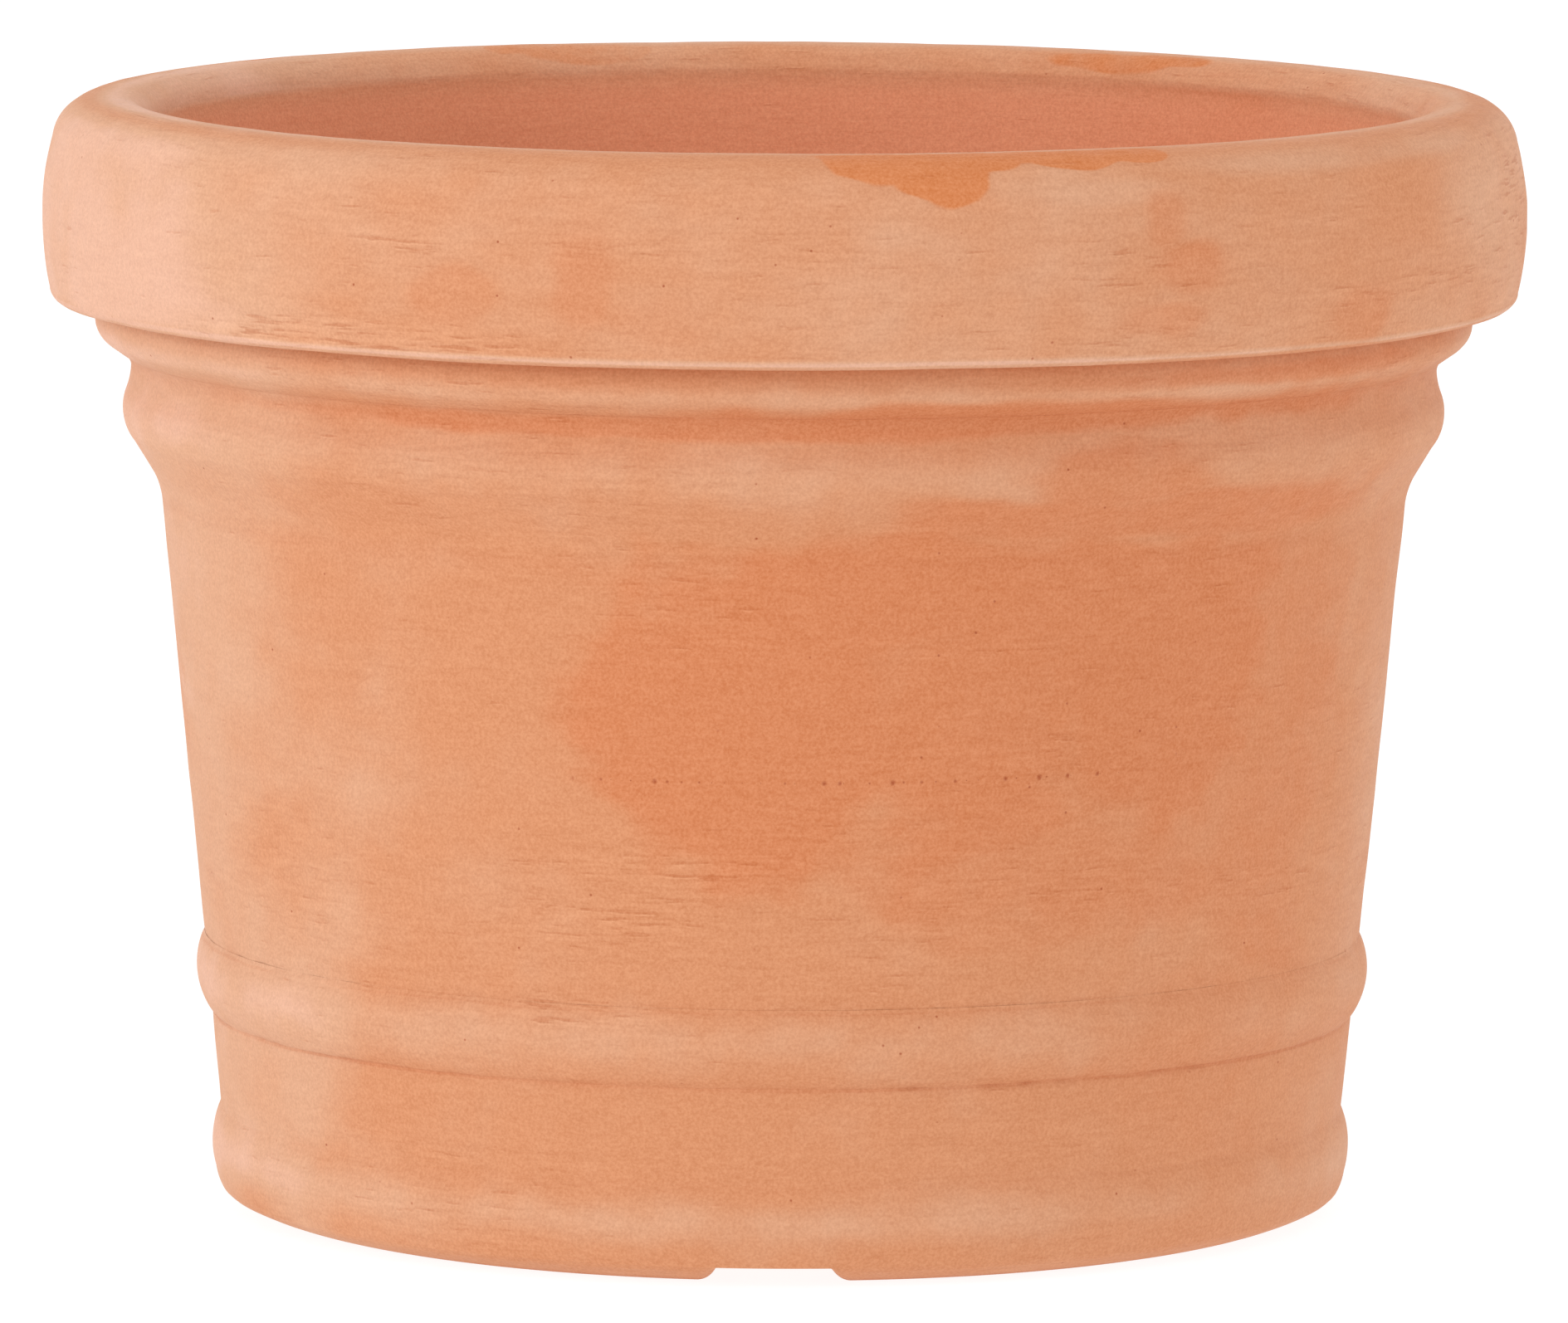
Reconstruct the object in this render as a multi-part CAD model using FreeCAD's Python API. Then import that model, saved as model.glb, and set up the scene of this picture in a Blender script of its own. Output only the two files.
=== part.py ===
"""Terracotta pot, built from its clay members. Millimetres, +Z up, origin at the centre of the base.

Every member is its own solid and touches its neighbours face to face. From the ground up: three foot
pads with drainage notches between them, a floor slab inside a foot band, the tapering wall with one
applied band, then the neck ring, the bead and the heavy rim.
"""
import FreeCAD
import Part
import math
import os

# Driving sizes.
RIM_DIAMETER = 400.0
POT_HEIGHT = 301.0
WALL_TAPER = 5.47            # degrees the outer wall leans out
WALL_RADIUS_AT_GROUND = 149.3
BORE_TAPER = 8.8             # degrees the inside leans out

# Heights where one clay member ends and the next begins.
NOTCH_HEIGHT = 5.4
FLOOR_TOP = 25.4
FOOT_BAND_TOP = 27.2
LOWER_BAND_BOTTOM = 53.2
LOWER_BAND_TOP = 74.4
NECK_BOTTOM = 192.6
BEAD_BOTTOM = 231.8
RIM_BOTTOM = 246.5
LIP_BOTTOM = 293.8

# Radii, each at the widest point of its member unless it says otherwise.
RIM_RADIUS = RIM_DIAMETER / 2
BEAD_RADIUS = 185.6
NECK_RADIUS = 178.3
BAND_RADIUS = 158.6
PAD_OUTER_RADIUS = 151.5
BEAD_TOP_RADIUS = 184.6      # where the bead meets the underside of the rim
NECK_TOP_RADIUS = 177.8      # where the neck meets the bead
LIP_RADIUS = 171.5           # inner edge of the lip, where the inside begins
PAD_INNER_RADIUS = 120.0
PAD_CONTACT_RADIUS = 138.0   # outer edge of the flat that touches the ground
FLOOR_RADIUS = 130.0
DRAIN_RADIUS = 17.5

# Drainage notches between the foot pads.
NOTCH_COUNT = 3
NOTCH_WIDTH = 30.0
NOTCH_EDGE_RADIUS = 5.0
ON_AXIS = 1.0                # a pad whose middle is nearer than this to x = 0 is the back one

AXIS_FOOT = FreeCAD.Vector(0, 0, 0)
UP = FreeCAD.Vector(0, 0, 1)


def wall_radius(height):
    """Radius of the plain outer wall at a height."""
    return WALL_RADIUS_AT_GROUND + height * math.tan(math.radians(WALL_TAPER))


def bore_radius(height):
    """Radius of the tapering inside at a height."""
    return LIP_RADIUS - (LIP_BOTTOM - height) * math.tan(math.radians(BORE_TAPER))


def at(radius, height):
    """Point of an outline drawn in the X-Z plane."""
    return FreeCAD.Vector(radius, 0, height)


def turned(start, *runs):
    """Turn a closed outline round the axis. A run holds its end point, or an arc's middle and end."""
    edges = []
    here = at(*start)
    for run in list(runs) + [[start]]:
        end = at(*run[-1])
        if len(run) == 2:
            edges.append(Part.Arc(here, at(*run[0]), end).toShape())
        else:
            edges.append(Part.makeLine(here, end))
        here = end
    return Part.Face(Part.Wire(edges)).revolve(AXIS_FOOT, UP, 360)


def notch_cutter(turn):
    """Drainage notch along one radius: flat ceiling, edges rounded where they meet the ground."""
    half = NOTCH_WIDTH / 2
    flare = half + NOTCH_EDGE_RADIUS
    bend = NOTCH_EDGE_RADIUS * (1 - math.sqrt(0.5))
    outer = RIM_RADIUS

    def corner(side, across, height):
        return FreeCAD.Vector(side * across, 0, height)

    edges = []
    for side in (1, -1):
        top = corner(side, half, NOTCH_HEIGHT)
        bend_top = corner(side, half, NOTCH_EDGE_RADIUS)
        bend_middle = corner(side, half + bend, bend)
        bend_foot = corner(side, flare, 0)
        edges.append(Part.makeLine(top, bend_top))
        edges.append(Part.Arc(bend_top, bend_middle, bend_foot).toShape())
    edges.append(Part.makeLine(corner(1, half, NOTCH_HEIGHT), corner(-1, half, NOTCH_HEIGHT)))
    edges.append(Part.makeLine(corner(1, flare, 0), corner(-1, flare, 0)))
    outline = Part.Wire(Part.__sortEdges__(edges))
    channel = Part.Face(outline).extrude(FreeCAD.Vector(0, -outer, 0))
    channel.rotate(AXIS_FOOT, UP, turn)
    return channel


def foot_pads():
    """Three pads, bevelled outside, left standing when the notches are cut from one low ring."""
    bevel = (PAD_CONTACT_RADIUS + 7.2, 2.0)
    bevel_top = (PAD_OUTER_RADIUS - 1.2, NOTCH_HEIGHT - 1.1)
    ring = turned(
        (PAD_INNER_RADIUS, 0),
        [(PAD_CONTACT_RADIUS, 0)],
        [bevel, bevel_top],
        [(PAD_OUTER_RADIUS, NOTCH_HEIGHT)],
        [(PAD_INNER_RADIUS, NOTCH_HEIGHT)],
    )
    for index in range(NOTCH_COUNT):
        ring = ring.cut(notch_cutter(index * 360 / NOTCH_COUNT))
    return ring.Solids


def floor_slab():
    """Flat round floor with the drain hole through its middle."""
    return turned(
        (DRAIN_RADIUS, NOTCH_HEIGHT),
        [(FLOOR_RADIUS, NOTCH_HEIGHT)],
        [(FLOOR_RADIUS, FLOOR_TOP)],
        [(DRAIN_RADIUS, FLOOR_TOP)],
    )


def foot_band():
    """Rounded at the foot, easing into the wall above, stepped inside where the floor slab sits."""
    swell = (PAD_OUTER_RADIUS + 1.0, NOTCH_HEIGHT + 2.2)
    crown = (PAD_OUTER_RADIUS + 1.7, NOTCH_HEIGHT + 5.1)
    shoulder = (PAD_OUTER_RADIUS + 2.6, NOTCH_HEIGHT + 12.1)
    return turned(
        (FLOOR_RADIUS, NOTCH_HEIGHT),
        [(PAD_OUTER_RADIUS, NOTCH_HEIGHT)],
        [swell, crown],
        [shoulder, (wall_radius(FOOT_BAND_TOP), FOOT_BAND_TOP)],
        [(bore_radius(FOOT_BAND_TOP), FOOT_BAND_TOP)],
        [(FLOOR_RADIUS, FLOOR_TOP)],
    )


def body_wall():
    """Plain tapering wall, thicker below than above."""
    return turned(
        (bore_radius(FOOT_BAND_TOP), FOOT_BAND_TOP),
        [(wall_radius(FOOT_BAND_TOP), FOOT_BAND_TOP)],
        [(wall_radius(NECK_BOTTOM), NECK_BOTTOM)],
        [(bore_radius(NECK_BOTTOM), NECK_BOTTOM)],
    )


def lower_band():
    """Applied strip: flat against the wall, rounded outside, fullest just above its middle."""
    fullest = (BAND_RADIUS, (LOWER_BAND_BOTTOM + LOWER_BAND_TOP) / 2 + 1.0)
    return turned(
        (wall_radius(LOWER_BAND_BOTTOM), LOWER_BAND_BOTTOM),
        [fullest, (wall_radius(LOWER_BAND_TOP), LOWER_BAND_TOP)],
    )


def neck_ring():
    """Sweep out of the wall, rounded moulding, then the cove under the bead."""
    wall_top = wall_radius(NECK_BOTTOM)
    hollow = (wall_top + 1.0, NECK_BOTTOM + 4.1)
    throat = (wall_top + 2.5, NECK_BOTTOM + 7.6)
    swell = (NECK_RADIUS - 2.9, BEAD_BOTTOM - 23.1)
    crest = (NECK_RADIUS, BEAD_BOTTOM - 14.8)
    fall = (NECK_RADIUS - 1.0, BEAD_BOTTOM - 10.0)
    cove_side = (NECK_RADIUS - 1.9, BEAD_BOTTOM - 7.0)
    cove = (NECK_RADIUS - 2.3, BEAD_BOTTOM - 4.3)
    cove_top = (NECK_RADIUS - 1.9, BEAD_BOTTOM - 1.8)
    return turned(
        (bore_radius(NECK_BOTTOM), NECK_BOTTOM),
        [(wall_top, NECK_BOTTOM)],
        [hollow, throat],
        [swell],
        [crest, fall],
        [cove_side, cove],
        [cove_top, (NECK_TOP_RADIUS, BEAD_BOTTOM)],
        [(bore_radius(BEAD_BOTTOM), BEAD_BOTTOM)],
    )


def rim_bead():
    """Slanting brow, then a bead that is nearly upright under the rim."""
    brow = (BEAD_RADIUS - 3.2, BEAD_BOTTOM + 3.2)
    cheek = (BEAD_RADIUS - 0.8, BEAD_BOTTOM + 5.8)
    crest = (BEAD_RADIUS, BEAD_BOTTOM + 9.4)
    tuck = (BEAD_RADIUS - 0.2, RIM_BOTTOM - 2.5)
    return turned(
        (bore_radius(BEAD_BOTTOM), BEAD_BOTTOM),
        [(NECK_TOP_RADIUS, BEAD_BOTTOM)],
        [brow],
        [cheek, crest],
        [tuck, (BEAD_TOP_RADIUS, RIM_BOTTOM)],
        [(bore_radius(RIM_BOTTOM), RIM_BOTTOM)],
    )


def rim_roll():
    """Heavy rim: sharp lower edge, full outer face, nearly flat crest, lip sloping to the inside."""
    ledge = (RIM_RADIUS - 5.2, RIM_BOTTOM)
    arris = (RIM_RADIUS - 2.9, RIM_BOTTOM + 0.9)
    arris_top = (RIM_RADIUS - 2.1, RIM_BOTTOM + 3.2)
    fullest = (RIM_RADIUS, RIM_BOTTOM + 21.0)
    face_top = (RIM_RADIUS - 2.7, POT_HEIGHT - 11.0)
    corner = (RIM_RADIUS - 5.4, POT_HEIGHT - 4.8)
    shoulder = (RIM_RADIUS - 11.5, POT_HEIGHT - 0.8)
    crest = (RIM_RADIUS - 17.4, POT_HEIGHT)
    lip_crest = (RIM_RADIUS - 23.2, POT_HEIGHT - 0.6)
    lip_slope = (RIM_RADIUS - 26.6, POT_HEIGHT - 3.2)
    return turned(
        (bore_radius(RIM_BOTTOM), RIM_BOTTOM),
        [ledge],
        [arris, arris_top],
        [fullest, face_top],
        [corner, shoulder],
        [crest, lip_crest],
        [lip_slope, (LIP_RADIUS, LIP_BOTTOM)],
    )


def members():
    """Every node with its solid; the pads are named by where their middle lies."""
    solids = {
        "floor_slab": floor_slab(),
        "foot_band": foot_band(),
        "body_wall": body_wall(),
        "lower_band": lower_band(),
        "neck_ring": neck_ring(),
        "rim_bead": rim_bead(),
        "rim_roll": rim_roll(),
    }
    for pad in foot_pads():
        middle = pad.CenterOfMass
        if abs(middle.x) < ON_AXIS:
            solids["foot_pad_back"] = pad
        elif middle.x < 0:
            solids["foot_pad_left"] = pad
        else:
            solids["foot_pad_right"] = pad
    return solids


os.makedirs("parts", exist_ok=True)
for node, solid in members().items():
    solid.exportStep("parts/" + node + ".step")
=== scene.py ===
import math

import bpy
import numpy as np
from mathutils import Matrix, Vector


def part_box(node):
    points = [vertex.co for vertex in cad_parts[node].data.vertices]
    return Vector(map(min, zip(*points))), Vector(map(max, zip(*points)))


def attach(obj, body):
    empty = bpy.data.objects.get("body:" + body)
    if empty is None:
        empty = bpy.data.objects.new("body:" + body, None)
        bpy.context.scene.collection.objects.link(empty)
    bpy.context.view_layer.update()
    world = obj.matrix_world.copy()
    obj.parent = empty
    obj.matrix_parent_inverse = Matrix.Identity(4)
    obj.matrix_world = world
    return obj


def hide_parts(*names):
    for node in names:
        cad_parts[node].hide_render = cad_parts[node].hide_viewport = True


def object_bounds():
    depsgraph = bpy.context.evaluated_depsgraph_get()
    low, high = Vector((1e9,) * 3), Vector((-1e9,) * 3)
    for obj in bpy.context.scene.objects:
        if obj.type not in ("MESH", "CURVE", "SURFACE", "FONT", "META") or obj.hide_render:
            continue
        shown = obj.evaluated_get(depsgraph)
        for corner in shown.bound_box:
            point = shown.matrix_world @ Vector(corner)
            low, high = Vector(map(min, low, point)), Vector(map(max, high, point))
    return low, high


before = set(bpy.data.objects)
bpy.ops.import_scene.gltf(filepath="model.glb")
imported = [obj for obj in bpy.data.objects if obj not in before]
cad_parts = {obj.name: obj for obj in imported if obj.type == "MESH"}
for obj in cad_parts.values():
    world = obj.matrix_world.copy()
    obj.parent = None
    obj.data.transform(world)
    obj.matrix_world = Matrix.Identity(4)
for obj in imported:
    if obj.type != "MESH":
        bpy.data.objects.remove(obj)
cad_low, cad_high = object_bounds()

# Looks of the terracotta pot: hand-pressed clay rings, a floor slab and three foot pads round one axis.
# Metres, Z up. An angle of 0 faces the front (-Y) and grows towards +X, so the back is half a turn away.
# "along" is the distance walked up the outer skin from the foot, over the lip and down the bore.

MM = 0.001
BODY = "root"

# ---------------------------------------------------------------- sizes read from the frame


def ring_span(node):
    """Bottom, top and outer radius of a clay ring of the frame."""
    low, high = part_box(node)
    return low.z, high.z, high.x


NOTCH_HEIGHT, SLAB_TOP, SLAB_RADIUS = ring_span("floor_slab")
FOOT_TOP = ring_span("foot_band")[1]
BAND_BOTTOM, BAND_TOP, BAND_RADIUS = ring_span("lower_band")
NECK_BOTTOM, NECK_TOP, NECK_RADIUS = ring_span("neck_ring")
BEAD_TOP, BEAD_RADIUS = ring_span("rim_bead")[1:]
RIM_BOTTOM, RIM_TOP, RIM_RADIUS = ring_span("rim_roll")
WALL_TOP_RADIUS = ring_span("body_wall")[2]

WALL_TAPER = 5.47            # degrees the outer wall leans out
BORE_TAPER = 8.8             # degrees the inside leans out
WALL_SLOPE = math.tan(math.radians(WALL_TAPER))
BORE_SLOPE = math.tan(math.radians(BORE_TAPER))
LIP_HEIGHT = RIM_TOP - 7.2 * MM
LIP_RADIUS = RIM_RADIUS - 28.5 * MM
NECK_TOP_RADIUS = NECK_RADIUS - 0.5 * MM
BEAD_TOP_RADIUS = BEAD_RADIUS - 1.0 * MM

DRAIN_RADIUS = 17.5 * MM
PAD_INNER = 120 * MM
PAD_CONTACT = 138 * MM
PAD_OUTER = 151.5 * MM
NOTCH_COUNT = 3
NOTCH_HALF_WIDTH = 15 * MM

# How closely the meshes are divided: points round the pot, and steps along an outline.
AROUND = 900
FINE = 0.7 * MM
RIM_STEP = 1.1 * MM
MEDIUM = 2.0 * MM
COARSE = 14 * MM


def wall_radius(height):
    """Radius of the plain outer wall at a height."""
    return WALL_TOP_RADIUS - (NECK_BOTTOM - height) * WALL_SLOPE


def bore_radius(height):
    """Radius of the tapering inside at a height."""
    return LIP_RADIUS - (LIP_HEIGHT - height) * BORE_SLOPE


# ---------------------------------------------------------------- outlines, as (radius, height)


def line(start, end, step):
    """Points on a straight run, without its first."""
    count = max(1, round(math.dist(start, end) / step))
    share = np.arange(1, count + 1)[:, None] / count
    return np.array(start) + share * (np.array(end) - np.array(start))


def arc(start, middle, end, step):
    """Points on the circle through three points, without the first."""
    a, b, c = (complex(*p) for p in (start, middle, end))
    chord = (c - a) / (b - a)
    centre = a + (b - a) * (chord - abs(chord) ** 2) / (2j * chord.imag)
    turn = np.angle((b - centre) / (a - centre)) + np.angle((c - centre) / (b - centre))
    count = max(2, round(abs(turn * (a - centre)) / step))
    points = centre + (a - centre) * np.exp(1j * turn * np.arange(1, count + 1) / count)
    return np.column_stack([points.real, points.imag])


def outline(start, *runs):
    """Points along a chain of runs. A run is (end, step) for a line or (middle, end, step) for an arc."""
    points = [np.array([start])]
    for run in runs:
        last = tuple(points[-1][-1])
        points.append((line if len(run) == 2 else arc)(last, *run))
    return np.vstack(points)


def walked_length(section):
    """Distance from an outline's first point to each of its points."""
    steps = np.hypot(*np.diff(section, axis=0).T)
    return np.concatenate([[0], np.cumsum(steps)])


def bore_line(top, bottom, step=COARSE):
    """The inner face between two heights, from the upper one down."""
    return outline((bore_radius(top), top), ((bore_radius(bottom), bottom), step))


def wall_point(height):
    """Point of the plain outer wall's outline at a height."""
    return wall_radius(height), height


def pad_skin():
    """Outer skin of a foot pad, from the ground up."""
    return outline(
        (PAD_CONTACT, 0),
        ((PAD_CONTACT + 7.2 * MM, 2.0 * MM), (PAD_OUTER - 1.2 * MM, NOTCH_HEIGHT - 1.1 * MM), FINE),
        ((PAD_OUTER, NOTCH_HEIGHT), FINE),
    )


def foot_skin():
    """Rounded at the foot, then easing into the wall above."""
    crown = (PAD_OUTER + 1.7 * MM, NOTCH_HEIGHT + 5.1 * MM)
    shoulder = (PAD_OUTER + 2.6 * MM, NOTCH_HEIGHT + 12.1 * MM)
    return outline(
        (PAD_OUTER, NOTCH_HEIGHT),
        ((PAD_OUTER + 1.0 * MM, NOTCH_HEIGHT + 2.2 * MM), crown, FINE),
        (shoulder, wall_point(FOOT_TOP), FINE),
    )


def wall_skin():
    """The plain wall, with closer points where the applied band is luted on."""
    edge = 4 * MM
    return outline(
        wall_point(FOOT_TOP),
        (wall_point(BAND_BOTTOM - edge), MEDIUM),
        (wall_point(BAND_BOTTOM + edge / 2), FINE),
        (wall_point(BAND_TOP - edge / 2), 2 * MEDIUM),
        (wall_point(BAND_TOP + edge), FINE),
        (wall_point(NECK_BOTTOM - edge), MEDIUM),
        (wall_point(NECK_BOTTOM), FINE),
    )


def band_skin():
    """The rounded face of the applied band, fullest just above its middle."""
    middle = (BAND_RADIUS, (BAND_BOTTOM + BAND_TOP) / 2 + 1.0 * MM)
    return outline(wall_point(BAND_BOTTOM), (middle, wall_point(BAND_TOP), FINE))


def neck_skin():
    """A hollow, a sloping throat, a round moulding and the groove under the bead."""
    hollow = (WALL_TOP_RADIUS + 1.0 * MM, NECK_BOTTOM + 4.1 * MM)
    throat = (WALL_TOP_RADIUS + 2.5 * MM, NECK_BOTTOM + 7.6 * MM)
    swell = (NECK_RADIUS - 2.9 * MM, NECK_TOP - 23.1 * MM)
    crest = (NECK_RADIUS, NECK_TOP - 14.8 * MM)
    fall = (NECK_RADIUS - 1.0 * MM, NECK_TOP - 10.0 * MM)
    cove = (NECK_RADIUS - 2.3 * MM, NECK_TOP - 4.3 * MM)
    return outline(
        wall_point(NECK_BOTTOM),
        (hollow, throat, FINE),
        (swell, FINE),
        (crest, fall, FINE),
        ((NECK_RADIUS - 1.9 * MM, NECK_TOP - 7.0 * MM), cove, FINE),
        ((NECK_RADIUS - 1.9 * MM, NECK_TOP - 1.8 * MM), (NECK_TOP_RADIUS, NECK_TOP), FINE),
    )


def bead_skin():
    """A slanting brow, then the bead, nearly upright under the rim."""
    brow = (BEAD_RADIUS - 3.2 * MM, NECK_TOP + 3.2 * MM)
    crest = (BEAD_RADIUS, NECK_TOP + 9.4 * MM)
    return outline(
        (NECK_TOP_RADIUS, NECK_TOP),
        (brow, FINE),
        ((BEAD_RADIUS - 0.8 * MM, NECK_TOP + 5.8 * MM), crest, FINE),
        ((BEAD_RADIUS - 0.2 * MM, BEAD_TOP - 2.5 * MM), (BEAD_TOP_RADIUS, BEAD_TOP), FINE),
    )


def rim_skin():
    """The ledge under the rim, its lower edge, the face, the rounded top and the lip."""
    edge = (RIM_RADIUS - 2.1 * MM, RIM_BOTTOM + 3.2 * MM)
    face_top = (RIM_RADIUS - 2.7 * MM, RIM_TOP - 11.0 * MM)
    shoulder = (RIM_RADIUS - 11.5 * MM, RIM_TOP - 0.8 * MM)
    lip_crest = (RIM_RADIUS - 23.2 * MM, RIM_TOP - 0.6 * MM)
    return outline(
        (BEAD_TOP_RADIUS, RIM_BOTTOM),
        ((RIM_RADIUS - 5.2 * MM, RIM_BOTTOM), MEDIUM),
        ((RIM_RADIUS - 2.9 * MM, RIM_BOTTOM + 0.9 * MM), edge, FINE),
        ((RIM_RADIUS, RIM_BOTTOM + 21.0 * MM), face_top, RIM_STEP),
        ((RIM_RADIUS - 5.4 * MM, RIM_TOP - 4.8 * MM), shoulder, RIM_STEP),
        ((RIM_RADIUS - 17.4 * MM, RIM_TOP), lip_crest, MEDIUM),
        ((RIM_RADIUS - 26.6 * MM, RIM_TOP - 3.2 * MM), (LIP_RADIUS, LIP_HEIGHT), FINE),
    )


# ---------------------------------------------------------------- places walked up the skin

FOOT_ALONG = walked_length(pad_skin())[-1]
WALL_ALONG = FOOT_ALONG + walked_length(foot_skin())[-1]
NECK_ALONG = WALL_ALONG + walked_length(wall_skin())[-1]
BEAD_ALONG = NECK_ALONG + walked_length(neck_skin())[-1]
RIM_ALONG = BEAD_ALONG + walked_length(bead_skin())[-1]
LIP_ALONG = RIM_ALONG + walked_length(rim_skin())[-1]


def along_wall(height):
    """Distance walked up the skin to a height on the plain wall."""
    return WALL_ALONG + (height - FOOT_TOP) * math.hypot(1, WALL_SLOPE)


SEAM_BAND_BOTTOM = along_wall(BAND_BOTTOM)
SEAM_BAND_TOP = along_wall(BAND_TOP)
SEAM_NECK_TOP = BEAD_ALONG - 2 * MM
RIM_EDGE = RIM_ALONG + 13.3 * MM
RIM_CREST = LIP_ALONG - 15 * MM
PIT_ROW = along_wall(135 * MM)

# A torn seam is its place along the skin, its depth in millimetres and its width.
BAND_SEAMS = ((SEAM_BAND_BOTTOM, 0.45, 0.9 * MM), (SEAM_BAND_TOP, 0.12, 0.9 * MM))
RIM_SEAMS = ((RIM_EDGE, 0.2, 1.2 * MM),)

# ---------------------------------------------------------------- seeded random fields on the skin


def field(seed, around, along, waves=40):
    """A smooth random field, mostly -1 to 1, that closes on itself round the pot.
    around and along are the usual size of its features, in metres."""
    draw = np.random.default_rng(seed)
    turns = np.rint(draw.normal(0, RIM_RADIUS / around * 1.6, waves))
    pitches = draw.normal(0, 1.6 / along, waves)
    phases = draw.uniform(0, math.tau, waves)

    def value(angle, distance):
        total = np.zeros(np.broadcast(angle, distance).shape)
        for turn, pitch, phase in zip(turns, pitches, phases):
            total += np.cos(turn * angle + pitch * distance + phase)
        return total * math.sqrt(1.2 / waves)

    return value


def smooth(low, high, value):
    """Eases from 0 at low to 1 at high. Low may be the larger of the two."""
    share = np.clip((value - low) / (high - low), 0, 1)
    return share * share * (3 - 2 * share)


warp = field(11, 260 * MM, 150 * MM)
dents = field(12, 42 * MM, 24 * MM)
ripples = field(13, 150 * MM, 7 * MM)
lumps = field(14, 12 * MM, 7 * MM)
crumbs = field(15, 5 * MM, 2.4 * MM, waves=60)
throwing = field(16, 400 * MM, 5 * MM)
raggedness = field(17, 28 * MM, 400 * MM)

# How far each field lifts the skin at most, in millimetres.
OUTER_RELIEF = ((0.16, warp), (0.09, dents), (0.035, ripples), (0.035, lumps))
BORE_RELIEF = ((0.10, warp), (0.05, dents), (0.05, throwing))
FLOOR_RELIEF = ((0.10, throwing), (0.12, dents), (0.08, warp))
FLOOR_SINK = 0.2


def mixed(parts, angle, along):
    """Sum of several fields, each given with its amount."""
    return sum(amount * part(angle, along) for amount, part in parts)


def groove(along, place, width):
    """A soft bump of height 1 at a place, for a line or a band round the pot."""
    return np.exp(-(((along - place) / width) ** 2))


def relief(angle, along, inside, seams):
    """How far the hand-worked skin stands off its outline, in metres."""
    height = np.where(inside, mixed(BORE_RELIEF, angle, along), mixed(OUTER_RELIEF, angle, along))
    torn = smooth(-0.2, 0.9, raggedness(angle, along)) * (0.75 + 0.5 * crumbs(angle, along))
    for place, depth, width in seams:
        height = height - depth * (0.35 + torn) * groove(along, place, width)
    return height * MM


# ---------------------------------------------------------------- meshes

ANGLES = np.linspace(-math.pi, math.pi, AROUND, endpoint=False)
SHARP_EDGE = math.radians(50)
LEVEL_ENDS = 3 * MM
FLOOR_ALONG = LIP_ALONG + 270 * MM
PAD_STATIONS = 260


def new_object(name, points, faces, layers):
    """A smooth-shaded mesh object that carries the clay's point layers."""
    mesh = bpy.data.meshes.new(name)
    mesh.from_pydata(points, [], faces)
    for layer, values in layers.items():
        mesh.attributes.new(layer, "FLOAT", "POINT").data.foreach_set("value", values.ravel())
    mesh.shade_smooth()
    mesh.set_sharp_from_angle(angle=SHARP_EDGE)
    made = bpy.data.objects.new(name, mesh)
    bpy.context.scene.collection.objects.link(made)
    return made


def grid_faces(stations, loop, closed):
    """Quads between neighbouring stations round the axis, each a closed loop of points."""
    first = np.arange(stations if closed else stations - 1)
    here = first[:, None] * loop
    there = (first[:, None] + 1) % stations * loop
    now = np.arange(loop)[None, :]
    after = (now + 1) % loop
    quads = np.stack([here + now, there + now, there + after, here + after], axis=-1)
    return quads.reshape(-1, 4)


def skin_normals(section):
    """Unit normals of an outline, pointing out of the clay, and turned level near both of its ends."""
    slope = np.gradient(section, axis=0)
    normal = np.column_stack([slope[:, 1], -slope[:, 0]])
    normal /= np.linalg.norm(normal, axis=1)[:, None]
    walked = walked_length(section)
    free = smooth(0, LEVEL_ENDS, np.minimum(walked, walked[-1] - walked))[:, None]
    level = np.array([np.sign(normal[:, 0].sum()), 0])
    return normal * free + level * (1 - free)


def place(angle, radius, height):
    """Points at an angle and radius about the pot's axis."""
    return np.stack([radius * np.sin(angle), -radius * np.cos(angle), height], axis=-1)


def clay_layers(angle, height, along, inside):
    """Point layers the clay material reads."""
    return {
        "along": along,
        "inside": smooth(LIP_ALONG - 1 * MM, LIP_ALONG + 8 * MM, along) * inside,
        "bare": np.where(inside, inner_bare(angle, along), outer_bare(angle, height, along)),
        "scraped": np.where(inside, 0.0, scraped(angle, along)),
        "bloom_and_light": np.where(inside, 0.35, bloom_and_light(angle, height, along)),
        "tears": np.where(inside, 0.0, tear_cover(angle, height, along)),
        "painted_shade": painted_crease_shade(height, along, inside),
    }


def ring(node, skin, bore, skin_start, seams=()):
    """A clay ring that replaces its CAD node: outer skin from the bottom up, then its bore downwards."""
    section = np.vstack([skin, bore])
    normals = np.vstack([skin_normals(skin), skin_normals(bore)])
    inside = np.concatenate([np.zeros(len(skin), bool), np.ones(len(bore), bool)])
    down_the_bore = LIP_ALONG + (LIP_HEIGHT - bore[:, 1]) * math.hypot(1, BORE_SLOPE)
    along = np.concatenate([skin_start + walked_length(skin), down_the_bore])
    angle = ANGLES[:, None]
    along, inside = (np.broadcast_to(v, (AROUND, len(section))) for v in (along, inside))
    offset = relief(angle, along, inside, seams)
    radius = np.minimum(section[:, 0] + offset * normals[:, 0], RIM_RADIUS)
    height = np.clip(section[:, 1] + offset * normals[:, 1], 0, RIM_TOP)
    angle = np.broadcast_to(angle, radius.shape)
    layers = clay_layers(angle, height, along, inside)
    points = place(angle, radius, height).reshape(-1, 3)
    faces = grid_faces(AROUND, len(section), True)
    return dress(new_object(node + "_clay", points, faces, layers), node)


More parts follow.
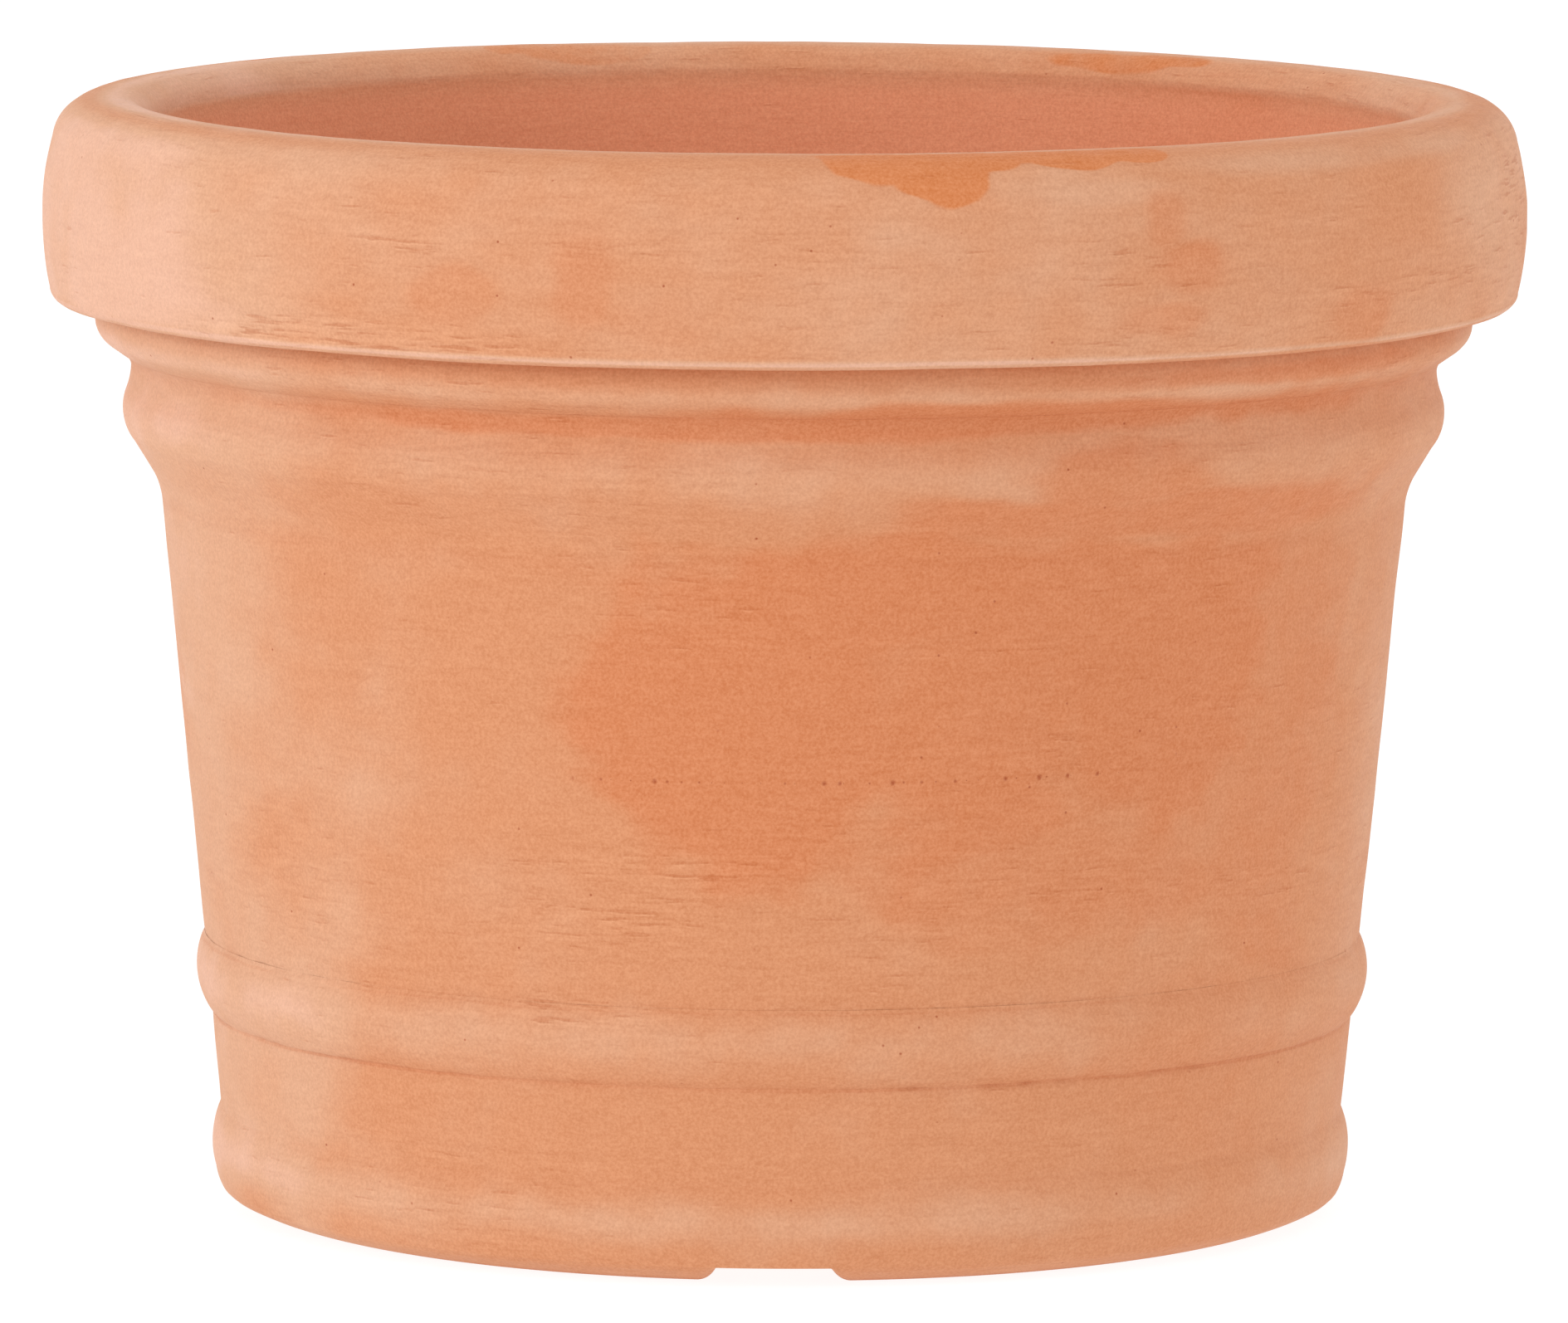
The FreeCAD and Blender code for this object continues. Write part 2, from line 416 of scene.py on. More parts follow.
def dress(piece, node):
    """Gives a piece its clay, hangs it under the pot's body empty and hides the CAD node that it stands
    for.
    """
    piece.data.materials.append(CLAY)
    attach(piece, BODY)
    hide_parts(node)
    return piece


def floor_slab():
    """The round floor with its drain hole, built as one closed ring about the axis."""
    soft = 2.0 * MM
    top, bottom = SLAB_TOP, NOTCH_HEIGHT
    section = outline(
        (DRAIN_RADIUS, bottom + soft),
        ((DRAIN_RADIUS, top - soft), MEDIUM),
        ((DRAIN_RADIUS + 0.3 * soft, top - 0.3 * soft), (DRAIN_RADIUS + soft, top), FINE),
        ((SLAB_RADIUS, top), MEDIUM),
        ((SLAB_RADIUS, bottom), COARSE),
        ((DRAIN_RADIUS + soft, bottom), COARSE),
        ((DRAIN_RADIUS + 0.3 * soft, bottom + 0.3 * soft), (DRAIN_RADIUS, bottom + soft), FINE),
    )[:-1][::-1]
    angle = ANGLES[:, None]
    along = FLOOR_ALONG + SLAB_RADIUS - section[:, 0]
    along = np.broadcast_to(along, (AROUND, len(section)))
    turned = mixed(FLOOR_RELIEF, angle, along)
    flat = np.isin(section[:, 1], (top, bottom)) & (section[:, 0] < SLAB_RADIUS - 1 * MM)
    sink = np.where(flat, np.minimum(turned, FLOOR_SINK) - FLOOR_SINK, 0) * MM
    height = section[:, 1] + np.where(section[:, 1] > (top + bottom) / 2, sink, -sink)
    radius = np.broadcast_to(section[:, 0], height.shape)
    angle = np.broadcast_to(angle, height.shape)
    layers = clay_layers(angle, height, along, np.ones(height.shape, bool))
    points = place(angle, radius, height).reshape(-1, 3)
    faces = grid_faces(AROUND, len(section), True)
    return dress(new_object("floor_slab_clay", points, faces, layers), "floor_slab")


def foot_pad(node, middle):
    """One of the pads between two drainage notches, with rounded ends that rise to the notch ceiling."""
    skin = pad_skin()
    flat = outline((PAD_INNER, NOTCH_HEIGHT), ((PAD_INNER, 0), MEDIUM), ((PAD_CONTACT - FINE, 0), MEDIUM))
    section = np.vstack([flat, skin])
    half_turn = math.pi / NOTCH_COUNT
    end = half_turn - np.arcsin(NOTCH_HALF_WIDTH / section[:, 0])
    share = np.sin(np.linspace(-math.pi / 2, math.pi / 2, PAD_STATIONS))[:, None]
    angle = middle + share * end
    to_end = (1 - np.abs(share)) * end * section[:, 0]
    lift = 1 - np.sqrt(np.clip(to_end * (2 * NOTCH_HEIGHT - to_end), 0, NOTCH_HEIGHT**2)) / NOTCH_HEIGHT
    lift = np.where(to_end > NOTCH_HEIGHT, 0, lift)
    along = np.broadcast_to(np.concatenate([-walked_length(flat)[::-1], walked_length(skin)]), lift.shape)
    outside = np.zeros(lift.shape, bool)
    offset = relief(angle, along, outside, ()) * smooth(0, NOTCH_HEIGHT, to_end)
    height = section[:, 1] + (NOTCH_HEIGHT - section[:, 1]) * lift
    radius = section[:, 0] + np.where(section[:, 0] > PAD_CONTACT, offset, 0)
    layers = clay_layers(angle, height, along, outside)
    # the painted shade at the foot edge is kept to the pad's outer skin
    layers["painted_shade"] = np.where(radius > PAD_CONTACT, layers["painted_shade"], 0.0)
    points = place(angle, radius, height).reshape(-1, 3)
    faces = grid_faces(PAD_STATIONS, len(section), False)
    return dress(new_object(node + "_clay", points, faces, layers), node)


# ---------------------------------------------------------------- where the clay is bare, bloomed or torn, and where light and shade are painted

# Each patch is an oval: middle angle and middle height, half sizes, then strength. Degrees and millimetres.
BARE_PATCHES = (
    (-1, 148, 15.5, 38, 1.0),
    (10, 183, 21, 17, 0.95),
    (30, 186, 18, 14, 1.0),
    (37, 152, 13, 36, 0.9),
    (18, 152, 17, 40, 0.8),
    (30, 108, 20, 20, 0.55),
    (52, 130, 14, 62, 0.5),
    (45, 58, 14, 34, 0.3),
    (31, 214, 10, 14, 0.6),
    (36, 203, 24, 8, 0.7),
    (30, 231, 34, 5.5, 0.75),
    (46, 240, 22, 4, 0.6),
    (-6, 229, 40, 3.5, 0.6),
    (-14.5, 268, 2.8, 16, 0.42),
    (-25, 264, 3.5, 7, 0.40),
    (30.5, 284, 2.8, 9, 0.48),
    (32.5, 271, 3.6, 9, 0.55),
    (30.5, 258, 5, 6, 0.45),
    (50, 256, 4, 9, 0.45),
    (-9, 258, 5, 9, 0.30),
    (112, 150, 20, 38, 0.65),
    (150, 110, 28, 28, 0.65),
    (176, 178, 24, 22, 0.6),
    (-118, 150, 30, 42, 0.45),
    (-155, 95, 20, 30, 0.45),
    (118, 270, 6, 16, 0.4),
    (-135, 262, 4, 15, 0.35),
)
PALE_PATCHES = (
    (43, 201, 6, 5, 0.35),
    (18, 122, 7, 8, 0.12),
    (27.5, 291, 5, 3, 0.20),
    (52, 298, 18, 4, 0.35),
    (76, 284, 14, 16, 0.12),
    (-62, 297, 26, 5, 0.10),
    (-36, 190, 10, 6, 0.15),
    (140, 170, 18, 25, 0.35),
    (-95, 200, 14, 20, 0.25),
    (-172, 60, 12, 12, 0.35),
)
TORN_PATCHES = (
    (14, 170, 6, 3, 0.9),
    (22, 169, 5, 2, 1.0),
    (14.5, 152, 4, 2, 1.0),
    (31, 160, 4, 2, 0.8),
    (-21, 112, 7, 2.5, 0.8),
    (-10, 112, 7, 4, 0.8),
    (-16, 96, 10, 7, 0.9),
    (-18, 72, 9, 4, 1.0),
    (45, 103, 13, 2.5, 0.8),
    (29, 84, 4, 3, 0.8),
    (9.8, 203, 6, 2, 0.7),
    (-30, 277, 6, 3, 1.0),
    (-11, 277, 7, 4, 0.9),
    (12.8, 276, 3, 2, 0.9),
    (25, 274, 6, 6, 0.7),
    (-36, 251, 18, 5, 1.5),
    (55, 262, 12, 3, 0.8),
    (78, 280, 6, 14, 0.8),
    (-40, 33, 8, 3, 0.7),
    (110, 120, 20, 10, 0.8),
    (170, 150, 24, 12, 0.8),
    (-130, 180, 20, 10, 0.8),
    (-170, 270, 20, 8, 0.8),
)
# Here the second number is how far the middle lies outside the rim's crest, walked down the skin.
SCRAPED_PATCHES = (
    (12.5, 10, 4.5, 11, 1.0),
    (8.5, 8, 6, 8, 1.0),
    (15.5, 6, 4, 7, 1.0),
    (21, 4, 5, 5, 1.0),
    (24, 5.5, 4.5, 7, 1.0),
    (28, 4.5, 4, 6, 1.0),
    (150, -9, 7, 5, 0.55),
    (143, -6, 5, 4, 0.55),
    (-161, -8, 7, 5, 0.48),
    (-154, -5, 4, 4, 0.48),
    (118, 8, 7, 7, 1.0),
    (-128, 6, 6, 6, 1.0),
)

clouds = field(21, 60 * MM, 42 * MM)
wisps = field(22, 26 * MM, 13 * MM)
flecks = field(23, 9 * MM, 5 * MM, waves=60)
tear_clusters = field(24, 46 * MM, 16 * MM)
tear_region = field(25, 150 * MM, 60 * MM)

# How much each field pushes the edges of the patches, as a share of their size.
BARE_WOBBLE = ((0.13, clouds), (0.12, wisps), (0.07, flecks))
SCRAPED_WOBBLE = ((0.10, wisps), (0.12, flecks))
PALE_WOBBLE = ((0.12, wisps), (0.10, flecks))
TORN_WOBBLE = ((0.15, wisps),)
INNER_DRIFT = ((0.12, clouds), (0.08, wisps))
TEAR_DRIFT = ((0.35, tear_clusters), (0.25, tear_region))


def patch_cover(degrees, level, patches, wobble, soft):
    """How strongly the nearest patch covers each point: full in the middle, none past its wobbly edge."""
    cover = np.zeros(np.broadcast(degrees, level).shape)
    for middle, height, half_angle, half_height, strength in patches:
        aside = (degrees - middle + 180) % 360 - 180
        away = np.hypot(aside / half_angle, (level / MM - height) / half_height) + wobble
        cover = np.maximum(cover, strength * smooth(1 + soft, 1 - soft, away))
    return cover


def outer_bare(angle, height, along):
    """Clay with little bloom left on it, from 0 to 1."""
    wobble = mixed(BARE_WOBBLE, angle, along)
    return patch_cover(np.degrees(angle), height, BARE_PATCHES, wobble, 0.40)


def inner_bare(angle, along):
    """Warmer clay inside, most of it on one side of the back, where it also paints shade on the inner wall.
    """
    # warm patch at the back right, also painted shade on that inner wall
    warm_patch_and_shade = groove(angle, math.radians(138), 0.25)
    return np.clip(0.15 + 0.5 * warm_patch_and_shade + mixed(INNER_DRIFT, angle, along), 0, 1)


def scraped(angle, along):
    """Patches where a tool took the skin off, with a sharp scalloped edge."""
    wobble = mixed(SCRAPED_WOBBLE, angle, along)
    return patch_cover(np.degrees(angle), RIM_CREST - along, SCRAPED_PATCHES, wobble, 0.25)


# Middle height, half width and amount of the bloom on each moulding; on the bead, the band and the foot it
# also paints a highlight along the crest.
MOULDING_BLOOM_AND_HIGHLIGHTS = (
    (NECK_TOP - 14 * MM, 9 * MM, 0.34),
    (NECK_TOP + 5.5 * MM, 3.5 * MM, 0.36),
    (BAND_BOTTOM + 12 * MM, 8 * MM, 0.36),
    (NOTCH_HEIGHT + 12 * MM, 6.5 * MM, 0.48),
)


def bloom_and_light(angle, height, along):
    """Pale salt bloom, most of it on the mouldings and down the left side, with painted light mixed in:
    highlights on moulding crests and edges, sheen towards both sides, and light on the ledge under the rim.
    """
    # salt bloom on the mouldings, plus a painted highlight along the crests of the bead, the band and the
    # foot
    raised_bloom_and_highlight = sum(amount * groove(height, level, width) for level, width, amount in MOULDING_BLOOM_AND_HIGHLIGHTS)
    raised_bloom_and_highlight = raised_bloom_and_highlight + 0.28 * smooth(RIM_BOTTOM, RIM_BOTTOM + 4 * MM, height)
    handled = 1 - 0.5 * smooth(0.1, 0.7, angle) * smooth(2.2, 1.4, angle)
    # pale lines at the rim's lower edge and inside its crest: worn clay with a painted highlight on the
    # rounded edge
    worn_edge_highlight = 0.9 * groove(along, RIM_EDGE, 0.55 * MM) + 0.28 * groove(along, RIM_CREST + 2 * MM, 2.5 * MM)
    # painted light on the ledge under the rim, across the left and the front, lifting the rim's shadow
    # there
    ledge = smooth(RIM_ALONG, RIM_ALONG + 2 * MM, along) * smooth(RIM_EDGE + 2 * MM, RIM_EDGE, along)
    lit_ledge = 0.5 * ledge * smooth(-1.0, -0.7, angle) * smooth(0.6, 0.3, angle)
    drift = 0.10 * clouds(angle + 1.7, along) + 0.07 * wisps(angle + 0.9, along)
    drift = drift + 0.04 * flecks(angle, along)
    # paler towards the far left and far right: partly salt bloom, partly painted sheen from the white
    # surroundings at grazing angles
    uneven = angle + 0.13 * clouds(angle + 0.4, along) + 0.06 * wisps(angle + 2.1, along)
    left_bloom_and_sheen = smooth(-0.58, -1.38, uneven) * smooth(-2.7, -1.8, angle)
    right_bloom_and_sheen = smooth(1.0, 1.4, angle) * smooth(2.4, 1.7, angle)
    side_bloom_and_sheen = 0.70 * left_bloom_and_sheen + 0.20 * right_bloom_and_sheen
    pale = patch_cover(np.degrees(angle), height, PALE_PATCHES, mixed(PALE_WOBBLE, angle, along), 0.5)
    # less bloom, so darker clay, just outside the rim's crest
    less_bloom_on_rim_top = 1 - 0.7 * groove(along, RIM_CREST - 5 * MM, 5 * MM)
    return np.clip((0.12 + raised_bloom_and_highlight * handled + lit_ledge + side_bloom_and_sheen + pale + drift) * less_bloom_on_rim_top + worn_edge_highlight, 0, 1.2)


def tear_cover(angle, height, along):
    """Where the smoothing tool dragged grit and left fine tears."""
    rim = smooth(RIM_BOTTOM, RIM_BOTTOM + 4 * MM, height)
    moulding = groove(height, NECK_TOP - 15 * MM, 8 * MM)
    low_wall = groove(height, 105 * MM, 34 * MM)
    brushed = 0.5 * rim + 0.2 * moulding + 0.35 * low_wall
    torn = patch_cover(np.degrees(angle), height, TORN_PATCHES, mixed(TORN_WOBBLE, angle, along), 0.4)
    return np.clip(0.15 + brushed + mixed(TEAR_DRIFT, angle, along), 0, 1) + torn


def painted_crease_shade(height, along, inside):
    """Painted shade: darker, redder clay in the crease under the bead, faintly in the hollow at the foot of
    the neck where the rings meet, and along the foot's lowest edge.
    """
    crease_shade = 0.4 * groove(along, SEAM_NECK_TOP, 3 * MM) + 0.15 * groove(along, NECK_ALONG, 2.5 * MM)
    # painted shade on the lowest 2 mm of the foot
    foot = 1 - smooth(0.2 * MM, 2.2 * MM, height)
    return np.where(inside, 0.0, np.clip(crease_shade + foot, 0, 1))


# ---------------------------------------------------------------- clay material

BARE_CLAY = (0.632, 0.223, 0.095)
SCRAPED_CLAY = (0.645, 0.220, 0.080)
FIRED_SKIN = (0.642, 0.268, 0.129)
# salt bloom colour, also used for the painted highlights, sheen and light under the rim
SALT_BLOOM_AND_LIGHT = (0.680, 0.362, 0.220)
# colour of the pale worn edges with their painted highlight
WORN_EDGE_HIGHLIGHT = (0.740, 0.420, 0.290)
# darker red clay of the torn seams and the drag tears, also the colour of the painted shade in the creases
# and at the foot
DARK_CLAY_AND_SHADE = (0.510, 0.148, 0.054)
PIT_CLAY = (0.380, 0.085, 0.030)
INNER_CLAY = (0.745, 0.292, 0.155)
GRAIN_TINT = (0.047, 0.033, 0.022)

# Each noise is its scale (features per metre, roughly), its detail and its roughness.
GRAIN_NOISE = (1300, 2.0, 0.6)
SAND_NOISE = (520, 2.0, 0.6)
MOTTLE_NOISE = (95, 4.0, 0.6)
PAPER_NOISE = (300, 2.0, 0.5)
CLOUD_NOISE = (24, 5.0, 0.6)
BRUSH_NOISE = (420, 3.0, 0.6)
STROKE_NOISE = (720, 2.0, 0.55)
WANDER_NOISE = (210, 3.0, 0.6)
BREAK_NOISE = (130, 2.0, 0.5)

STRETCH = 0.12               # squeezes the level directions, which draws the noise out round the pot
BURR_HIGHLIGHT_OFFSET = 0.5 * MM       # how far below a drag tear its raised burr lies, painted paler as a highlight as if lit from above
PIT_CELLS = 210.0            # scattered pits: cells per metre, few of which hold a pit
PIT_SPACING = 4.6 * MM       # between the pits of the level row


class Nodes:
    """Small helper that adds and links shader nodes by short calls."""

    def __init__(self, material):
        material.use_nodes = True
        self.tree = material.node_tree
        self.tree.nodes.clear()

    def add(self, kind, inputs=None, **settings):
        node = self.tree.nodes.new(kind)
        for key, value in settings.items():
            setattr(node, key, value)
        for key, value in (inputs or {}).items():
            if isinstance(value, bpy.types.NodeSocket):
                self.tree.links.new(value, node.inputs[key])
            else:
                node.inputs[key].default_value = value
        return node

    def math(self, operation, a, b=0.0, c=0.0):
        return self.add("ShaderNodeMath", {0: a, 1: b, 2: c}, operation=operation).outputs[0]

    def layer(self, name):
        return self.add("ShaderNodeAttribute", attribute_name=name).outputs["Fac"]

    def noise(self, where, scale, detail=2.0, roughness=0.5):
        inputs = {"Vector": where, "Scale": scale, "Detail": detail, "Roughness": roughness}
        return self.add("ShaderNodeTexNoise", inputs).outputs["Fac"]

    def remap(self, value, low, high, to_low=0.0, to_high=1.0):
        inputs = {"Value": value, "From Min": low, "From Max": high, "To Min": to_low, "To Max": to_high}
        return self.add("ShaderNodeMapRange", inputs, interpolation_type="SMOOTHSTEP").outputs["Result"]

    def blend(self, share, first, second):
        node = self.add("ShaderNodeMix", data_type="RGBA")
        colours = [s for s in node.inputs if s.type == "RGBA"]
        self.tree.links.new(share, node.inputs["Factor"])
        for socket, colour in zip(colours, (first, second)):
            if isinstance(colour, bpy.types.NodeSocket):
                self.tree.links.new(colour, socket)
            else:
                socket.default_value = (*colour, 1)
        return next(s for s in node.outputs if s.type == "RGBA")

    def tint(self, colour, amount, change):
        """A colour with some of another added to it, or taken away where the amount is negative."""
        part = self.add("ShaderNodeVectorMath", {0: change, "Scale": amount}, operation="SCALE").outputs[0]
        return self.add("ShaderNodeVectorMath", {0: colour, 1: part}, operation="ADD").outputs[0]


def torn_seam(n, along, wander, place, width):
    """A thin ragged line round the pot, where one layer of clay was pressed onto another."""
    moved = n.math("MULTIPLY_ADD", wander, 3 * MM, along)
    off = n.math("ABSOLUTE", n.math("SUBTRACT", moved, place + 1.5 * MM))
    return n.remap(off, 0.25 * width, width, 1.0, 0.0)


def pit_row(n, around, along, wander):
    """A level row of small pits across the front, where one hard grain was dragged along."""
    spaced = n.add("ShaderNodeTexVoronoi", {"W": around, "Scale": 1 / PIT_SPACING}, voronoi_dimensions="1D")
    draw = n.add("ShaderNodeSeparateColor", {0: spaced.outputs["Color"]}).outputs[0]
    across = n.math("MULTIPLY", spaced.outputs["Distance"], PIT_SPACING)
    up = n.math("SUBTRACT", n.math("MULTIPLY_ADD", wander, 0.8 * MM, along), PIT_ROW + 0.4 * MM)
    away = n.math("SQRT", n.math("ADD", n.math("POWER", across, 2.0), n.math("POWER", up, 2.0)))
    size = n.remap(draw, 0.3, 1.0, 0.15 * MM, 0.9 * MM)
    front = n.remap(n.math("ABSOLUTE", n.math("SUBTRACT", around, 25 * MM)), 70 * MM, 90 * MM, 1.0, 0.0)
    depth = n.remap(n.math("DIVIDE", away, size), 0.0, 1.25, 1.0, 0.0)
    return n.math("MULTIPLY", depth, front)


def drag_tear(n, stroke, cover):
    """The deepest streaks of the drawn-out noise, and more of them where the cover is high."""
    return n.remap(n.math("MULTIPLY_ADD", cover, -0.09, stroke), 0.17, 0.29, 1.0, 0.0)


def scattered_pits(n, where):
    """Single small pits, in a few of the cells that divide the clay."""
    cells = n.add("ShaderNodeTexVoronoi", {"Vector": where, "Scale": PIT_CELLS}).outputs
    draw = n.add("ShaderNodeSeparateColor", {0: cells["Color"]}).outputs[0]
    return n.math("MULTIPLY", n.remap(cells["Distance"], 0.02, 0.11, 1.0, 0.0), n.remap(draw, 0.86, 0.90))


def band_seams(n, along, wander, drawn):
    """The torn seams under and over the applied band. The upper one is fainter and broken."""
    broken = n.remap(n.noise(drawn, *BREAK_NOISE), 0.42, 0.60)
    upper = torn_seam(n, along, wander, SEAM_BAND_TOP, 0.6 * MM)
    lower = torn_seam(n, along, wander, SEAM_BAND_BOTTOM, 0.9 * MM)
    upper = n.math("MULTIPLY", upper, n.math("MULTIPLY", broken, 0.3))
    lower = n.math("MULTIPLY", lower, n.math("MULTIPLY_ADD", broken, 0.4, 0.3))
    return n.math("MAXIMUM", upper, lower)


def clay_tone(n, inside, mottle, cloud):
    """Broad colour of the clay, before its grain and marks, including its painted highlights, sheen, light
    under the rim and shade in the creases.
    """
    edge_noise = n.math("MULTIPLY_ADD", mottle, 0.30, n.math("MULTIPLY_ADD", cloud, 0.22, -0.26))
    bare = n.remap(n.math("ADD", n.layer("bare"), edge_noise), 0.05, 0.90)
    scrape = n.remap(n.math("ADD", n.layer("scraped"), edge_noise), 0.34, 0.66)
    bloom_noise = n.math("MULTIPLY_ADD", mottle, 0.3, n.math("MULTIPLY_ADD", cloud, 0.3, -0.3))
    # salt bloom with painted highlights, sheen and light under the rim mixed in
    bloom_and_light_share = n.remap(n.math("ADD", n.layer("bloom_and_light"), bloom_noise), 0.0, 0.9)
    # painted highlight on the worn edge lines
    worn_edge_highlight = n.remap(n.layer("bloom_and_light"), 0.8, 1.2)

    colour = n.blend(bloom_and_light_share, FIRED_SKIN, SALT_BLOOM_AND_LIGHT)
    colour = n.blend(bare, colour, BARE_CLAY)
    colour = n.blend(scrape, colour, SCRAPED_CLAY)
    colour = n.blend(worn_edge_highlight, colour, WORN_EDGE_HIGHLIGHT)
    colour = n.blend(n.math("MULTIPLY", inside, 0.8), colour, INNER_CLAY)
    # painted shade in the creases and at the foot edge
    return n.blend(n.math("MULTIPLY", n.layer("painted_shade"), 0.55), colour, DARK_CLAY_AND_SHADE)


def clay_material():
    """Fired clay: bare orange patches, salt bloom with painted highlights and sheen, painted shade in the
    creases, fine grain, drag tears with painted shadow and pale burrs painted as highlights, and pits.
    """
    material = bpy.data.materials.new("fired_clay")
    n = Nodes(material)
    where = n.add("ShaderNodeTexCoord").outputs["Object"]
    split = n.add("ShaderNodeSeparateXYZ", {0: where}).outputs
    along = n.layer("along")
    inside = n.layer("inside")
    cover = n.layer("tears")
    turn = n.math("ARCTAN2", split["X"], n.math("MULTIPLY", split["Y"], -1.0))
    around = n.math("MULTIPLY", turn, WALL_TOP_RADIUS)
    stretched = {axis: n.math("MULTIPLY", split[axis], STRETCH) for axis in ("X", "Y")}
    drawn = n.add("ShaderNodeCombineXYZ", {**stretched, "Z": along}).outputs[0]
    above = n.add("ShaderNodeVectorMath", {0: drawn, 1: (0, 0, BURR_HIGHLIGHT_OFFSET)}, operation="ADD").outputs[0]

    grain = n.noise(where, *GRAIN_NOISE)
    sand = n.noise(where, *SAND_NOISE)
    mottle = n.noise(where, *MOTTLE_NOISE)
    cloud = n.noise(where, *CLOUD_NOISE)
    brush = n.noise(drawn, *BRUSH_NOISE)
    stroke = n.noise(drawn, *STROKE_NOISE)
    wander = n.noise(drawn, *WANDER_NOISE)

    tear = drag_tear(n, stroke, cover)
    torn_above = drag_tear(n, n.noise(above, *STROKE_NOISE), cover)
    burr_highlight = n.math("MULTIPLY", torn_above, n.math("SUBTRACT", 1.0, tear))
    seam = band_seams(n, along, wander, drawn)
    pit = n.math("MAXIMUM", scattered_pits(n, where), pit_row(n, around, along, wander))
    pit = n.math("MULTIPLY", pit, n.math("SUBTRACT", 1.0, inside))

    colour = clay_tone(n, inside, mottle, cloud)
    # dark marks: torn seams, drag tears and pits; the drag tears' dark line is partly a painted shadow
    for mark, strength, tone in ((seam, 0.55, DARK_CLAY_AND_SHADE), (tear, 0.26, DARK_CLAY_AND_SHADE), (pit, 0.85, PIT_CLAY)):
        colour = n.blend(n.math("MULTIPLY", mark, strength), colour, tone)
    # painted highlight: the burr under each drag tear is lightened as if lit from above
    colour = n.tint(colour, n.math("MULTIPLY", burr_highlight, 1.1), GRAIN_TINT)
    for noise, swing in ((grain, 1.0), (sand, 0.3), (brush, 0.2)):
        colour = n.tint(colour, n.remap(noise, 0.25, 0.75, -swing, swing), GRAIN_TINT)
    combed = n.remap(stroke, 0.25, 0.75, -0.5, 0.5)
    combed = n.math("MULTIPLY", combed, n.math("MULTIPLY_ADD", cover, 0.8, 0.3))
    colour = n.tint(colour, combed, GRAIN_TINT)

    # how far each noise lifts the surface and each mark cuts into it, in millimetres
    lifts = ((sand, 0.090), (brush, 0.120), (stroke, 0.100), (burr_highlight, 0.030))
    cuts = ((tear, -0.045), (seam, -0.120), (pit, -0.090))
    height = n.math("MULTIPLY", grain, 0.080)
    for mark, amount in lifts + cuts:
        height = n.math("MULTIPLY_ADD", mark, amount, height)
    bump = n.add("ShaderNodeBump", {"Strength": 1.0, "Distance": MM, "Height": height})
    inputs = {
        "Base Color": colour,
        "Roughness": n.remap(mottle, 0.3, 0.7, 0.62, 0.78),
        "IOR": 1.45,
        "Specular IOR Level": 0.24,
        "Normal": bump.outputs[0],
    }
    surface = n.add("ShaderNodeBsdfPrincipled", inputs)
    n.add("ShaderNodeOutputMaterial", {"Surface": surface.outputs[0]})
    return material


# ---------------------------------------------------------------- stage, lights and camera

FLOOR_GLOW = 0.90
FLOOR_TONES = ((0.17, 0.17, 0.17), (0.20, 0.20, 0.20))
FLOOR_RADIUS = 18.0
FLOOR_SIDES = 64

HORIZON_LIGHT = 1.06
ZENITH_LIGHT = 0.92
KEY_BEARING = math.radians(-55)
KEY_ELEVATION = math.radians(19)
KEY_DISTANCE = 3.2
KEY_SIZE = 0.8
KEY_POWER = 19

CAMERA_BEARING = math.radians(0.65)
CAMERA_DISTANCE = 4.1325
CAMERA_HEIGHT = 0.64706
CAMERA_PITCH = math.radians(6.895)
CAMERA_ROLL = math.radians(0.26)
CAMERA_LENS = 353.13
CAMERA_SHIFT = 0.0008


def floor_material():
    """White sweep lit from below like a light table, with a barely visible paper grain."""
    material = bpy.data.materials.new("pale_floor")
    n = Nodes(material)
    where = n.add("ShaderNodeTexCoord").outputs["Object"]
    tone = n.remap(n.noise(where, *PAPER_NOISE), 0.3, 0.7)
    colour = n.blend(tone, *FLOOR_TONES)
    inputs = {
        "Base Color": colour,
        "Roughness": 1.0,
        "Specular IOR Level": 0.0,
        "Emission Color": (1.0, 1.0, 1.0, 1),
        "Emission Strength": FLOOR_GLOW,
    }
    surface = n.add("ShaderNodeBsdfPrincipled", inputs)
    n.add("ShaderNodeOutputMaterial", {"Surface": surface.outputs[0]})
    return material


def studio_floor():
    """A wide flat disc at ground level."""
    turn = np.arange(FLOOR_SIDES) * math.tau / FLOOR_SIDES
    points = place(turn, np.full(FLOOR_SIDES, FLOOR_RADIUS), np.zeros(FLOOR_SIDES))
    mesh = bpy.data.meshes.new("studio_floor")
    mesh.from_pydata(points, [], [list(range(FLOOR_SIDES))])
    floor = bpy.data.objects.new("studio_floor", mesh)
    bpy.context.scene.collection.objects.link(floor)
    floor.data.materials.append(floor_material())


def key_light(target):
    """A weak square soft box, low on the left. Its bearing is measured like the pot's angles."""
    lamp = bpy.data.lights.new("key_light", "AREA")
    lamp.size = KEY_SIZE
    lamp.energy = KEY_POWER
    made = bpy.data.objects.new("key_light", lamp)
    bpy.context.scene.collection.objects.link(made)
    level = KEY_DISTANCE * math.cos(KEY_ELEVATION)
    rise = KEY_DISTANCE * math.sin(KEY_ELEVATION)
    made.location = (level * math.sin(KEY_BEARING), -level * math.cos(KEY_BEARING), rise)
    made.location += target
    made.rotation_euler = (target - made.location).to_track_quat("-Z", "Y").to_euler()
    made.visible_camera = False


